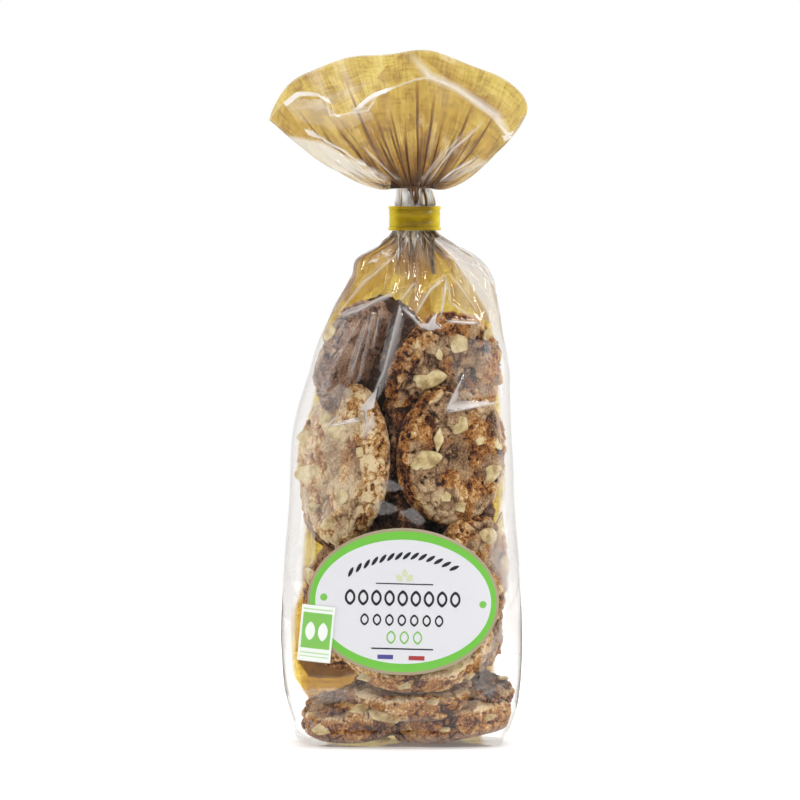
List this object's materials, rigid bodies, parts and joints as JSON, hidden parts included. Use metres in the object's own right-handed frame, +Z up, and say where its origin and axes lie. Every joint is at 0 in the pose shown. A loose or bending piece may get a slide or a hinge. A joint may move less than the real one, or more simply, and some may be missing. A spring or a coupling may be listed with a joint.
{
  "type": "clear bag of almond biscuits",
  "caption": "Upright clear block-bottom bag filled with golden-brown almond biscuits, tied at the neck with a ribbed yellow strip, with a flared printed top and plain labels.",
  "frame": {"origin": "middle of the flat base, on the surface the bag stands on", "axes": "+Z up along the bag, -Y out of the labelled front, +X to the right seen from the front"},
  "size_m": [0.0904, 0.0535, 0.2429],
  "materials": {
    "clear_film": "clear glossy polypropylene film",
    "printed_film": "film printed with a translucent golden weave",
    "biscuit": "dry baked biscuit, cracked and crumbly",
    "almond": "cut almond, cream with a brown skin",
    "tie_plastic": "extruded yellow plastic strip, slightly see-through",
    "label_paper": "white printed label with a green ring",
    "sticker_paper": "white printed sticker with a green field"
  },
  "bodies": {
    "root": {"bag": "clear_film", "tie": "tie_plastic", "label": "label_paper", "sticker": "sticker_paper"}
  },
  "joints": []
}
